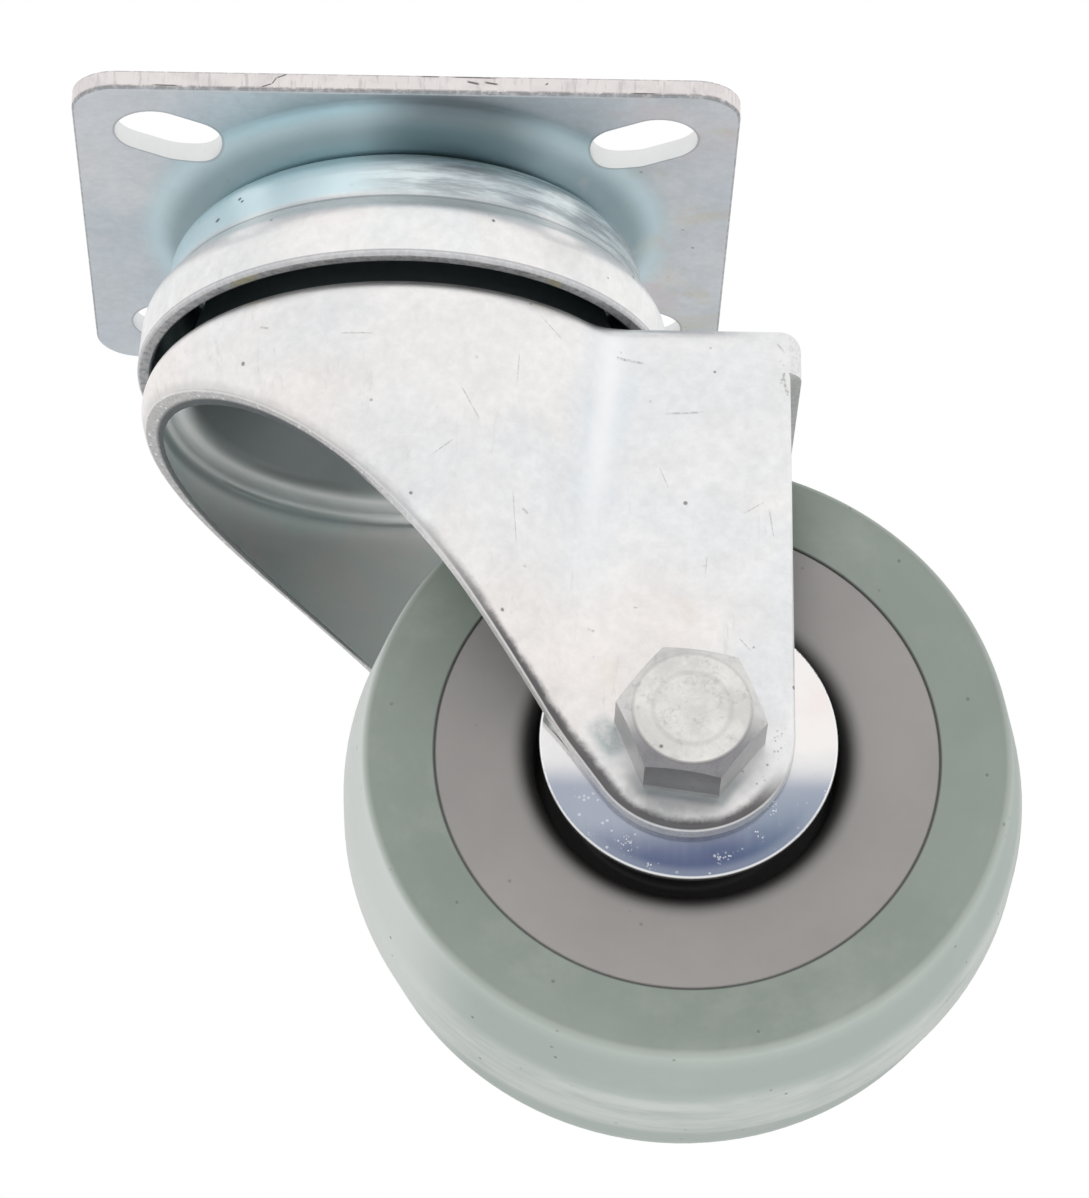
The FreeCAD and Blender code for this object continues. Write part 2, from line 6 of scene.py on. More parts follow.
# Looks of a zinc plated swivel castor with a grey rubber wheel.
# Metres, in the frame of the solids: the origin is the middle of the plate's top face,
# +Z is up, +X points to the axle and the bolt's head is at -Y.

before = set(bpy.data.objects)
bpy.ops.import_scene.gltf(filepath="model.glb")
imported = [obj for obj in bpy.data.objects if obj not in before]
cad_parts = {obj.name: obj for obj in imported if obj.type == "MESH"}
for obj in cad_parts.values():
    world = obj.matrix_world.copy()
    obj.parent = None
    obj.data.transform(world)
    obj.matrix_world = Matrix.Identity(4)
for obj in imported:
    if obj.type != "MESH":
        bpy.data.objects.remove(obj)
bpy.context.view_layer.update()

MM = 0.001

# Top plate and its slots
PLATE_HALF_X = 50.0 * MM
PLATE_HALF_Y = 42.5 * MM
SLOT_INSET_X = 14.2 * MM
SLOT_INSET_Y = 13.7 * MM
SLOT_HALF_STRAIGHT = 2.55 * MM
SLOT_RADIUS = 5.85 * MM
SLOT_ANGLE = math.radians(30.0)

# Raceway ring: heights of its crease and of the middle of its cut lip
RING_CREASE_Z = -17.35 * MM
RING_LIP_Z = -28.45 * MM

# Fork: the hood's level and radius, its crease, the leg's slope and end, and the lean of each
HOOD_Z = -31.5 * MM
HOOD_RADIUS = 40.2 * MM
HOOD_LEAN = 0.165
CREASE_X = 31.8 * MM
CREASE_LEAN = 0.112
LEG_SLOPE = math.radians(54.7)
LEG_END_RADIUS = 15.3 * MM
SHEARED_WIDTH = 0.5 * MM

# Centre and radius of the fork's curved front edge in side view
ARC_X = -94.195 * MM
ARC_Z = -155.806 * MM
ARC_RADIUS = 129.4 * MM

# Wheel and axle
TRAIL = 42.4 * MM
AXLE_Z = -98.3 * MM
HEAD_HALF_FLATS = 9.5 * MM
HEAD_FLAT_ANGLE = 22.0
HEAD_RING_RADIUS = 5.6 * MM
HEAD_RIM_RADIUS = 8.5 * MM
THREAD_PITCH = 1.75 * MM
DISC_RING_SCALE = 3000.0

# Cracks and scuffs on the plate's near edge: start and end (x, z) and width, in millimetres
PLATE_EDGE_MARKS = (
    ((-21.6, -2.4), (-19.8, -1.7), 0.16), ((-20.0, -1.9), (-19.2, -0.6), 0.14),
    ((-19.4, -0.8), (-17.6, -0.05), 0.16), ((8.8, -0.8), (11.0, -1.3), 0.26),
    ((11.4, -0.9), (13.8, -1.3), 0.24), ((1.8, -0.12), (5.2, -0.1), 0.14),
    ((6.0, -0.12), (14.0, -0.2), 0.14), ((20.6, -1.2), (21.1, -0.9), 0.18),
    ((-38.0, -2.3), (-33.5, -2.35), 0.16), ((33.0, -2.4), (37.5, -2.4), 0.14))

# Small dark pits on the ring's near side
RING_PITS = (
    ((-28.4, -14.1), (-28.0, -14.6), 0.45), ((-25.0, -12.2), (-24.7, -12.7), 0.35),
    ((-24.6, -12.9), (-24.3, -13.3), 0.30), ((13.0, -21.6), (13.4, -22.1), 0.30))

# Scratches and nicks on the near leg
NEAR_LEG_MARKS = (
    ((-9.3, -40.9), (-3.7, -41.3), 0.16), ((8.6, -48.5), (11.8, -54.1), 0.15),
    ((4.6, -59.8), (8.0, -57.0), 0.15), ((31.6, -37.6), (36.2, -38.5), 0.30),
    ((38.7, -46.8), (45.1, -46.4), 0.26), ((17.3, -41.8), (17.0, -47.0), 0.11),
    ((10.8, -43.9), (11.2, -44.3), 0.34), ((36.7, -44.6), (37.1, -45.0), 0.30),
    ((16.5, -63.0), (17.2, -72.5), 0.10), ((17.9, -66.0), (18.8, -66.9), 0.34),
    ((18.2, -74.7), (18.6, -75.1), 0.30), ((54.2, -61.9), (54.9, -67.3), 0.15),
    ((34.1, -78.5), (35.0, -78.6), 0.16), ((27.6, -82.0), (28.8, -82.6), 0.26),
    ((45.1, -69.9), (44.8, -73.1), 0.12), ((50.4, -63.1), (53.8, -60.9), 0.12),
    ((56.4, -39.4), (57.2, -43.6), 0.30), ((55.6, -34.6), (57.0, -36.4), 0.24),
    ((20.0, -35.2), (24.0, -38.4), 0.12), ((-21.0, -37.8), (-19.4, -38.4), 0.22),
    ((49.5, -83.0), (51.5, -85.4), 0.12), ((38.0, -55.2), (39.6, -59.4), 0.09))

# A dark blot beside the bolt's head, and worn and stained patches of the near leg
LEG_BLOT = (((28.4, -95.6), (32.6, -102.4), 2.6), ((29.0, -99.0), (32.6, -98.4), 1.6))
LEG_WEAR = (
    ((55.8, -97.0), (54.4, -102.6), 1.3), ((53.2, -105.0), (51.8, -107.0), 1.1),
    ((31.0, -36.8), (36.0, -38.6), 0.9), ((56.0, -37.0), (57.4, -44.5), 0.9))
LEG_STAINS = (((41.0, -76.4), (43.2, -81.6), 1.7), ((30.6, -86.0), (31.4, -93.0), 2.6))

# Scuffed patches of the near disc
DISC_SCUFFS = (
    ((32.0, -113.4), (34.6, -116.4), 1.5), ((46.0, -117.0), (49.0, -116.4), 1.2),
    ((53.4, -106.4), (54.8, -110.4), 1.3), ((51.0, -111.6), (53.0, -114.4), 1.0),
    ((27.5, -113.0), (30.0, -114.0), 0.3), ((36.0, -117.8), (38.4, -118.4), 0.8))

# Camera, fitted to the plate's corners, the hub's edge and the tread
CAMERA_PLACE = (8.5 * MM, -734.9 * MM, -415.3 * MM)
CAMERA_YAW = math.radians(1.04)
CAMERA_PITCH = math.radians(25.45)
CAMERA_ROLL = math.radians(-0.43)
CAMERA_LENS = 162.55
CAMERA_SENSOR = 36.0

# Floor, and the lamps: name, place, what it faces, power in watts and width
FLOOR_Z = -0.72
FLOOR_HALF = 8.0
LAMPS = (
    ("key", (-1.5, -1.1, 1.3), (0, 0, -0.07), 10.0, 1.8),
    ("fill", (1.6, -1.2, 0.2), (0, 0, -0.07), 5.5, 1.3),
    ("low", (0.0, -0.3, -0.70), (0, 0, -0.05), 4.2, 1.2))
SURROUND_LIGHT = 0.76
SURROUND_SEEN = 1.0


class Paint:
    """A procedural material, with short calls for the nodes that it is made of."""

    def __init__(self, name, metallic=0.0, **fixed):
        self.material = bpy.data.materials.new(name)
        self.material.use_nodes = True
        self.tree = self.material.node_tree
        self.tree.nodes.clear()
        self.shader = self.tree.nodes.new("ShaderNodeBsdfPrincipled")
        out = self.tree.nodes.new("ShaderNodeOutputMaterial")
        self.tree.links.new(self.shader.outputs[0], out.inputs["Surface"])
        self.shader.inputs["Metallic"].default_value = metallic
        for socket, value in fixed.items():
            self.shader.inputs[socket.replace("_", " ")].default_value = value
        self.place = self.tree.nodes.new("ShaderNodeTexCoord")
        self.spot = self.split(self.place.outputs["Object"])
        self.normal = self.split(self.place.outputs["Normal"])
        self.height = None

    def feed(self, socket, value):
        """Links a socket, or sets it where the value is a plain number or colour."""
        if isinstance(value, bpy.types.NodeSocket):
            self.tree.links.new(value, socket)
        elif hasattr(value, "__len__") and len(value) == 3 and socket.type == "RGBA":
            socket.default_value = (*value, 1.0)
        else:
            socket.default_value = value

    def math(self, operation, first, second=0.0):
        node = self.tree.nodes.new("ShaderNodeMath")
        node.operation = operation
        self.feed(node.inputs[0], first)
        self.feed(node.inputs[1], second)
        return node.outputs[0]

    def times(self, *values):
        """The product of its values."""
        product = values[0]
        for value in values[1:]:
            product = self.math("MULTIPLY", product, value)
        return product

    def most(self, *values):
        """The largest of its values."""
        largest = values[0]
        for value in values[1:]:
            largest = self.math("MAXIMUM", largest, value)
        return largest

    def plus(self, first, second):
        return self.math("ADD", first, second)

    def minus(self, first, second):
        return self.math("SUBTRACT", first, second)

    def inverse(self, mask):
        """One less the mask."""
        return self.math("SUBTRACT", 1.0, mask)

    def absolute(self, value):
        return self.math("ABSOLUTE", value)

    def away(self, value, level):
        """How far a value is from a level, on either side."""
        return self.absolute(self.minus(value, level))

    def band(self, value, low, high, start=0.0, end=1.0):
        """A smooth step of a value from start to end between two of its levels."""
        node = self.tree.nodes.new("ShaderNodeMapRange")
        node.interpolation_type = "SMOOTHSTEP"
        for socket, number in zip(node.inputs, (value, low, high, start, end)):
            self.feed(socket, number)
        return node.outputs[0]

    def fade(self, value, low, high):
        """A smooth step from one down to nothing between two levels."""
        return self.band(value, low, high, 1.0, 0.0)

    def mix(self, factor, first, second, blend="MIX"):
        node = self.tree.nodes.new("ShaderNodeMix")
        node.data_type = "RGBA"
        node.blend_type = blend
        node.clamp_factor = True
        self.feed(node.inputs[0], factor)
        self.feed(node.inputs[6], first)
        self.feed(node.inputs[7], second)
        return node.outputs[2]

    def over(self, under, tint, *masks):
        """A tint laid over a colour where all of the masks are."""
        return self.mix(self.times(*masks), under, tint)

    def split(self, vector):
        node = self.tree.nodes.new("ShaderNodeSeparateXYZ")
        self.feed(node.inputs[0], vector)
        return node.outputs

    def moved(self, stretch=(1, 1, 1), turn=(0, 0, 0), shift=(0, 0, 0)):
        """The piece's own coordinates, turned, shifted and stretched."""
        node = self.tree.nodes.new("ShaderNodeMapping")
        node.vector_type = "POINT"
        self.feed(node.inputs["Vector"], self.place.outputs["Object"])
        node.inputs["Location"].default_value = shift
        node.inputs["Rotation"].default_value = turn
        node.inputs["Scale"].default_value = stretch
        return node.outputs[0]

    def noise(self, scale, detail=2.0, rough=0.5, twist=0.0, **where):
        node = self.tree.nodes.new("ShaderNodeTexNoise")
        self.feed(node.inputs["Vector"], self.moved(**where))
        node.inputs["Scale"].default_value = scale
        node.inputs["Detail"].default_value = detail
        node.inputs["Roughness"].default_value = rough
        node.inputs["Distortion"].default_value = twist
        return node.outputs["Fac"]

    def rings(self, radius, scale):
        """Fine rings of uneven strength about an axis."""
        node = self.tree.nodes.new("ShaderNodeTexNoise")
        node.noise_dimensions = "1D"
        self.feed(node.inputs["W"], radius)
        node.inputs["Scale"].default_value = scale
        return node.outputs["Fac"]

    def cells(self, scale, share, edge, **where):
        """A random pattern's distance to its cells' middles, and a mask of a share of the cells."""
        node = self.tree.nodes.new("ShaderNodeTexVoronoi")
        self.feed(node.inputs["Vector"], self.moved(**where))
        node.inputs["Scale"].default_value = scale
        chosen = self.band(self.split(node.outputs["Color"])[0], 1 - share, 1 - share + edge)
        return node.outputs["Distance"], chosen

    def specks(self, scale, size, share, shift=(0, 0, 0)):
        """Round spots in a share of the cells of a random pattern."""
        distance, chosen = self.cells(scale, share, 0.01, shift=shift)
        return self.times(chosen, self.fade(distance, size * 0.5, size))

    def scratches(self, turn, shift=(0, 0, 0), share=0.06):
        """Sparse thin lines, each as long as a cell of a stretched random pattern."""
        distance, chosen = self.cells(1.0, share, 0.02, stretch=(520.0, 520.0, 34.0), turn=turn,
                                      shift=shift)
        return self.times(chosen, self.fade(distance, 0.02, 0.09))

    def dots(self, scale, share, shift=(0, 0, 0)):
        """A field of fine soft dots, for scuffed or worn patches."""
        return self.specks(scale, 0.45, share, shift=shift)

    def rise(self, value, depth):
        """Adds relief: the value times a depth in metres."""
        part = self.times(value, depth)
        self.height = part if self.height is None else self.plus(self.height, part)

    def finish(self, colour, roughness):
        self.feed(self.shader.inputs["Base Color"], colour)
        self.feed(self.shader.inputs["Roughness"], roughness)
        if self.height is not None:
            bump = self.tree.nodes.new("ShaderNodeBump")
            bump.inputs["Strength"].default_value = 1.0
            bump.inputs["Distance"].default_value = 1.0
            self.feed(bump.inputs["Height"], self.height)
            self.tree.links.new(bump.outputs[0], self.shader.inputs["Normal"])
        return self.material


def grey_of(paint, value):
    """A grey colour from one value."""
    node = paint.tree.nodes.new("ShaderNodeCombineColor")
    for socket in node.inputs:
        paint.feed(socket, value)
    return node.outputs[0]


def length_of(paint, first, second):
    """The length of a flat vector."""
    return paint.math("SQRT", paint.plus(paint.times(first, first), paint.times(second, second)))


def from_axle(paint):
    """Distance from the axle's line."""
    x, y, z = paint.spot
    return length_of(paint, paint.minus(x, TRAIL), paint.minus(z, AXLE_Z))


def near_side(paint):
    """A mask of what lies on the bolt head's side of the wheel."""
    return paint.band(paint.spot[1], -20.0 * MM, -22.0 * MM)


def hex_reach(paint):
    """Distance outward from the flats of the bolt's head."""
    x, y, z = paint.spot
    across = paint.minus(x, TRAIL)
    up = paint.minus(z, AXLE_Z)
    sides = []
    for index in range(3):
        angle = math.radians(HEAD_FLAT_ANGLE + 60 * index)
        sides.append(paint.absolute(paint.plus(paint.times(across, math.cos(angle)),
                                               paint.times(up, math.sin(angle)))))
    return paint.minus(paint.most(*sides), HEAD_HALF_FLATS)


def slot_reach(paint):
    """Distance outward from the wall of the nearest slot in the plate."""
    x, y, z = paint.spot
    across = paint.minus(paint.absolute(x), PLATE_HALF_X - SLOT_INSET_X)
    up = paint.minus(paint.absolute(y), PLATE_HALF_Y - SLOT_INSET_Y)
    along = paint.plus(paint.times(across, math.cos(SLOT_ANGLE)), paint.times(up, math.sin(SLOT_ANGLE)))
    side = paint.minus(paint.times(up, math.cos(SLOT_ANGLE)), paint.times(across, math.sin(SLOT_ANGLE)))
    over = paint.most(paint.minus(paint.absolute(along), SLOT_HALF_STRAIGHT), 0.0)
    return paint.minus(length_of(paint, over, side), SLOT_RADIUS)


def mark(paint, start, end, width):
    """A thin tapered mark between two places (x, z), seen along Y, in millimetres."""
    x, y, z = paint.spot
    start_x, start_z = start[0] * MM, start[1] * MM
    run_x, run_z = end[0] * MM - start_x, end[1] * MM - start_z
    long = math.hypot(run_x, run_z)
    ahead_x, ahead_z = run_x / long, run_z / long
    across = paint.minus(x, start_x)
    up = paint.minus(z, start_z)
    along = paint.plus(paint.times(across, ahead_x), paint.times(up, ahead_z))
    side = paint.away(paint.times(across, ahead_z), paint.times(up, ahead_x))
    reach = paint.fade(paint.away(along, long / 2), long * 0.25, long * 0.5)
    return paint.times(reach, paint.fade(side, width * 0.3 * MM, width * MM))


def marks_on(paint, places):
    """Several marks (start, end, width), joined into one mask."""
    return paint.most(*[mark(paint, *place) for place in places])


def zinc_look(name, pale, cool, warm, tune=None):
    """Bright zinc plating: cloudy tints, a fine grain, sparse scratches and small dark marks."""
    paint = Paint(name, metallic=0.9)
    clouds = paint.noise(24.0, 4.0, 0.6, 0.4)
    tints = paint.noise(15.0, 3.0, 0.55, 0.2, shift=(3.1, 1.7, 0.4))
    grain = paint.noise(700.0, 4.0, 0.65)
    patchy = paint.noise(130.0, 4.0, 0.7, 0.6, shift=(0.4, 0.1, 0.6))
    colour = paint.mix(paint.band(clouds, 0.35, 0.68), pale, cool)
    colour = paint.over(colour, warm, paint.band(tints, 0.5, 0.7))
    shade = paint.times(paint.band(grain, 0.25, 0.8, 0.94, 1.03),
                        paint.band(patchy, 0.3, 0.75, 1.02, 0.95))
    colour = paint.mix(1.0, colour, grey_of(paint, shade), "MULTIPLY")

    streaks = paint.noise(1.0, 4.0, 0.7, turn=(0.3, 0.5, 0.2), stretch=(420.0, 420.0, 70.0))
    rubs = paint.times(paint.band(streaks, 0.60, 0.74), paint.band(tints, 0.40, 0.60))
    lines = paint.most(paint.scratches((0.2, 0.6, 0.1)),
                       paint.scratches((0.9, -0.7, 0.4), shift=(0.3, 0.8, 0.1)),
                       paint.scratches((-0.5, 1.3, 0.8), shift=(0.6, 0.5, 0.7)))
    pits = paint.most(paint.specks(260.0, 0.11, 0.10),
                      paint.specks(560.0, 0.2, 0.03, shift=(0.7, 0.2, 0.9)))
    colour = paint.over(colour, (0.36, 0.35, 0.34), rubs, 0.22)
    colour = paint.over(colour, (0.40, 0.38, 0.36), lines, 0.36)
    colour = paint.over(colour, (0.16, 0.14, 0.12), pits, 0.75)
    roughness = paint.band(paint.plus(clouds, paint.times(patchy, 0.5)), 0.5, 1.0, 0.3, 0.46)
    paint.rise(grain, 0.010 * MM)
    paint.rise(patchy, 0.030 * MM)
    paint.rise(lines, -0.010 * MM)
    if tune is not None:
        colour, roughness = tune(paint, colour, roughness)
    return paint.finish(colour, roughness)


def plate_dish(paint, colour, level):
    """A painted blue reflection that deepens toward the dish's floor, strongest on the underside, with a
    painted dark reflection at the front and painted shade beside the ring.
    """
    x, y, z = paint.spot
    radius = length_of(paint, x, y)
    below = paint.band(paint.normal[2], 0.15, -0.15)
    # Painted blue reflection on the dish, stronger where the surface faces down.
    painted_sheen = paint.times(paint.fade(radius, 38.5 * MM, 42.8 * MM), level,
                        paint.band(below, 0.0, 1.0, 0.35, 1.0))
    colour = paint.over(colour, (0.60, 0.77, 0.82), painted_sheen, 0.8)
    # Painted dark reflection in the dish's middle, on the near side.
    dark = paint.times(paint.fade(paint.away(x, 8.0 * MM), 4.0 * MM, 16.0 * MM),
                       paint.band(y, -18.0 * MM, -30.0 * MM), level,
                       paint.fade(radius, 39.5 * MM, 43.2 * MM))
    colour = paint.over(colour, (0.24, 0.28, 0.30), dark, 0.85)
    # Painted shade in the dish's floor next to the ring.
    deep = paint.times(paint.fade(radius, 35.0 * MM, 39.0 * MM), paint.band(below, 0.0, 1.0, 0.18, 1.0))
    central = paint.band(paint.away(x, 6.0 * MM), 3.0 * MM, 15.0 * MM, 0.88, 0.62)
    return paint.over(colour, (0.12, 0.20, 0.22), deep, central)


def plate_stains(paint, colour):
    """Warm and rosy clouds toward the rear."""
    x = paint.spot[0]
    warm = paint.band(paint.noise(45.0, 4.0, 0.65, 0.8, shift=(0.2, 0.9, 0.3)), 0.5, 0.66)
    colour = paint.over(colour, (0.66, 0.62, 0.50), paint.band(x, 28.0 * MM, 46.0 * MM), warm, 0.45)
    rosy = paint.band(paint.noise(60.0, 3.0, 0.6, 0.5, shift=(0.7, 0.3, 0.1)), 0.54, 0.68)
    return paint.over(colour, (0.72, 0.56, 0.58), paint.band(x, 18.0 * MM, 30.0 * MM), rosy, 0.35)


def plate_edge(paint, colour, rim, grit):
    """The sheared outer edge: worn patches, upright shear lines, dark outlines and cracks."""
    x, y, z = paint.spot
    worn = paint.noise(150.0, 4.0, 0.7, 0.2, shift=(0.1, 0.4, 0.8))
    shear = paint.noise(1.0, 3.0, 0.6, stretch=(1500.0, 1500.0, 240.0))
    edge = paint.mix(paint.band(worn, 0.44, 0.66), (0.85, 0.80, 0.785), (0.76, 0.715, 0.70))
    edge = paint.over(edge, (0.50, 0.47, 0.46), paint.band(shear, 0.52, 0.70), 0.5)
    outline = paint.most(paint.band(z, -0.22 * MM, -0.08 * MM),
                         paint.band(paint.away(z, -2.45 * MM), 0.22 * MM, 0.08 * MM))
    edge = paint.over(edge, (0.30, 0.28, 0.28), outline, paint.band(grit, 0.35, 0.55), 0.6)
    colour = paint.over(colour, edge, rim, 0.88)
    cracks = paint.times(marks_on(paint, PLATE_EDGE_MARKS), paint.band(y, -41.8 * MM, -42.2 * MM))
    return paint.over(colour, (0.10, 0.09, 0.09), cracks, 0.85)


def plate_tune(paint, colour, roughness):
    """The dish's painted blue reflection and painted shade, warm stains at the rear, the plate's sheared,
    worn edge and a painted dark reflection where the edge rolls under.
    """
    x, y, z = paint.spot
    facing = paint.normal[2]
    upright = paint.fade(paint.absolute(facing), 0.3, 0.6)
    level = paint.inverse(upright)
    border = paint.most(paint.band(paint.absolute(y), 39.2 * MM, 39.8 * MM),
                        paint.band(paint.absolute(x), 46.5 * MM, 47.1 * MM))
    rim = paint.times(upright, border)
    grit = paint.noise(900.0, 4.0, 0.75)
    colour = plate_dish(paint, colour, level)
    colour = plate_stains(paint, colour)
    colour = plate_edge(paint, colour, rim, grit)

    # Painted dark reflection, speckled by the grit, on the edge's roll where it turns under.
    turned = paint.times(paint.band(facing, -0.10, -0.30), paint.fade(facing, -0.80, -0.97), border,
                         paint.band(grit, 0.36, 0.58, 0.45, 1.0))
    colour = paint.over(colour, (0.22, 0.22, 0.23), turned, 0.72)
    reach = slot_reach(paint)
    mouth = paint.times(paint.band(reach, -0.1 * MM, 0.0), paint.fade(reach, 0.15 * MM, 0.5 * MM))
    colour = paint.over(colour, (0.36, 0.37, 0.38), mouth, level, 0.5)
    wall = paint.times(upright, paint.inverse(border))
    colour = paint.over(colour, (0.80, 0.81, 0.80), wall, 0.8)
    paint.rise(paint.times(grit, rim), 0.09 * MM)
    return colour, paint.plus(roughness, paint.times(rim, 0.2))


def ring_shoulder(paint, colour):
    """A painted blue reflection on the shoulder, strongest at the front, that turns darker and streaky
    toward the rear, with a painted dark reflection on the near side.
    """
    x, y, z = paint.spot
    shoulder = paint.band(z, -17.6 * MM, -15.5 * MM)
    # Painted blue reflection, stronger toward the front.
    painted_sheen = paint.plus(0.35, paint.band(x, 4.0 * MM, -12.0 * MM, 0.0, 0.45))
    colour = paint.over(colour, (0.68, 0.89, 0.95), shoulder, painted_sheen)
    turning = paint.noise(1.0, 4.0, 0.7, shift=(0.8, 0.4, 0.1), stretch=(75.0, 75.0, 700.0))
    dull = paint.times(shoulder, paint.band(x, -10.0 * MM, 4.0 * MM), paint.band(turning, 0.36, 0.62))
    colour = paint.over(colour, (0.36, 0.41, 0.43), dull, 0.78)
    # Painted dark reflection on the near side of the shoulder.
    dark = paint.times(shoulder, paint.fade(paint.away(x, 7.5 * MM), 1.0 * MM, 6.5 * MM),
                       paint.band(y, -10.0 * MM, -20.0 * MM))
    return paint.over(colour, (0.32, 0.35, 0.38), dark, paint.band(turning, 0.2, 0.7, 0.1, 0.75))


def ring_lip(paint, colour, lip, grit):
    """The rough cut lip with two small stains, and the scored sheared band above it."""
    x, y, z = paint.spot
    cut = paint.mix(paint.band(grit, 0.4, 0.65), (0.56, 0.56, 0.57), (0.34, 0.35, 0.36))
    stained = paint.most(paint.times(paint.band(x, -26.0 * MM, -24.5 * MM),
                                     paint.fade(x, -22.5 * MM, -21.0 * MM)),
                         paint.times(paint.band(x, 21.0 * MM, 22.0 * MM),
                                     paint.fade(x, 22.8 * MM, 23.8 * MM)))
    cut = paint.over(cut, (0.55, 0.50, 0.26), lip, stained, 0.6)
    colour = paint.over(colour, cut, lip, 0.9)
    sheared = paint.times(paint.band(z, -28.40 * MM, -28.55 * MM), paint.inverse(lip))
    colour = paint.over(colour, (0.52, 0.52, 0.54), sheared, paint.band(grit, 0.3, 0.7, 0.55, 0.85))
    score = paint.band(paint.away(z, RING_LIP_Z), 0.18 * MM, 0.05 * MM)
    return paint.over(colour, (0.28, 0.28, 0.30), score, 0.5)


def ring_tune(paint, colour, roughness):
    """A painted blue reflection on the shoulder, a pitted skirt, painted shade along the crease, the rough
    sheared lip and painted shade inside.
    """
    x, y, z = paint.spot
    colour = ring_shoulder(paint, colour)
    pits = paint.times(marks_on(paint, RING_PITS), paint.band(y, -10.0 * MM, -12.0 * MM))
    colour = paint.over(colour, (0.08, 0.09, 0.10), pits, 0.85)
    # Painted shade along the crease between shoulder and skirt.
    crease = paint.band(paint.away(z, RING_CREASE_Z), 0.34 * MM, 0.12 * MM)
    colour = paint.over(colour, (0.30, 0.33, 0.35), crease, 0.6)
    lip = paint.times(paint.band(paint.normal[2], -0.85, -0.96), paint.band(z, -28.0 * MM, -28.8 * MM))
    grit = paint.noise(1100.0, 3.0, 0.7)
    colour = ring_lip(paint, colour, lip, grit)
    paint.rise(paint.times(grit, lip), 0.10 * MM)
    # Painted shade on the ring's inward-facing surfaces.
    outward = paint.plus(paint.times(paint.normal[0], x), paint.times(paint.normal[1], y))
    colour = paint.over(colour, (0.20, 0.28, 0.29), paint.band(outward, -4.0 * MM, -12.0 * MM), 0.8)
    return colour, paint.plus(roughness, paint.times(lip, 0.2))


def fork_inside(paint, colour, inner, patches):
    """A painted teal reflection inside the hood, painted shade on the crown's top, a painted highlight on
    the fold, and painted shade in the bowl and in the hood's inner fillet.
    """
    x, y, z = paint.spot
    facing = paint.normal[2]
    radius = length_of(paint, x, y)
    # Painted teal reflection on the inward-facing surfaces.
    teal = paint.mix(patches, (0.86, 0.96, 0.95), (0.95, 0.96, 0.94))
    colour = paint.over(colour, teal, inner, 0.9)
    # Painted shade on the crown's top inside the hood.
    crown = paint.times(paint.band(facing, -0.2, 0.0), paint.fade(radius, 35.5 * MM, 37.2 * MM),
                        paint.band(z, -32.0 * MM, -30.5 * MM))
    colour = paint.over(colour, (0.14, 0.20, 0.21), crown, 0.85)
    # Painted highlight on the fold's rounded edge.
    fold = paint.times(paint.band(facing, 0.0, -0.1), paint.band(z, -34.7 * MM, -34.3 * MM),
                       paint.band(radius, 31.8 * MM, 33.0 * MM), paint.fade(radius, 36.2 * MM, 37.2 * MM))
    colour = paint.over(colour, (0.97, 0.98, 0.98), fold)
    # Painted shade in the bowl.
    bowl = paint.times(paint.band(radius, 33.4 * MM, 31.8 * MM), paint.band(facing, 0.05, -0.1),
                       paint.band(z, -36.0 * MM, -35.0 * MM))
    colour = paint.over(colour, (0.35, 0.39, 0.39), bowl, 0.85)
    # Painted shade in the hood's inner fillet.
    corner_shade = paint.times(paint.band(radius, 36.6 * MM, 37.3 * MM), paint.band(z, -37.5 * MM, -35.2 * MM))
    return paint.over(colour, (0.20, 0.25, 0.26), corner_shade, inner, 0.6)


def fork_crease(paint, colour):
    """A painted highlight down the bend between hood and leg, in a cool painted reflection."""
    x, y, z = paint.spot
    line = paint.plus(CREASE_X, paint.times(paint.minus(z, HOOD_Z), CREASE_LEAN))
    beside = paint.away(x, line)
    # Painted cool reflection beside the bend.
    crease_reflection = paint.times(paint.fade(beside, 1.5 * MM, 6.0 * MM), paint.band(z, -95.0 * MM, -45.0 * MM))
    colour = paint.over(colour, (0.76, 0.83, 0.88), crease_reflection, 0.35)
    # Painted highlight along the bend.
    crease_highlight = paint.times(paint.fade(beside, 0.0, 3.0 * MM), paint.band(z, -85.0 * MM, -35.0 * MM))
    return paint.over(colour, (0.95, 0.95, 0.965), crease_highlight, 0.75)


def fork_outline(paint):
    """Distance inward from the leg's edge in side view, how far down its slope, and its rear."""
    x, y, z = paint.spot
    across = paint.minus(x, TRAIL)
    up = paint.minus(z, AXLE_Z)
    down_slope = paint.plus(paint.times(across, math.cos(LEG_SLOPE)),
                            paint.times(up, -math.sin(LEG_SLOPE)))
    from_slope = paint.plus(paint.plus(paint.times(across, math.sin(LEG_SLOPE)),
                                       paint.times(up, math.cos(LEG_SLOPE))), LEG_END_RADIUS)
    from_arc = paint.minus(length_of(paint, paint.minus(x, ARC_X), paint.minus(z, ARC_Z)), ARC_RADIUS)
    from_end = paint.minus(LEG_END_RADIUS, from_axle(paint))
    above = paint.fade(down_slope, -32.5 * MM, -31.5 * MM)
    below = paint.band(down_slope, -0.5 * MM, 0.5 * MM)
    rear = paint.times(paint.band(x, TRAIL, TRAIL + 0.1 * MM), paint.band(z, AXLE_Z - 0.1 * MM, AXLE_Z))
    inboard = paint.plus(paint.times(above, from_arc), paint.times(paint.inverse(above), from_slope))
    inboard = paint.plus(paint.times(paint.inverse(below), inboard),
                         paint.times(below, paint.most(from_end, 0.0)))
    inboard = paint.plus(paint.times(paint.inverse(rear), inboard),
                         paint.times(rear, paint.minus(TRAIL + LEG_END_RADIUS, x)))
    return inboard, down_slope, rear


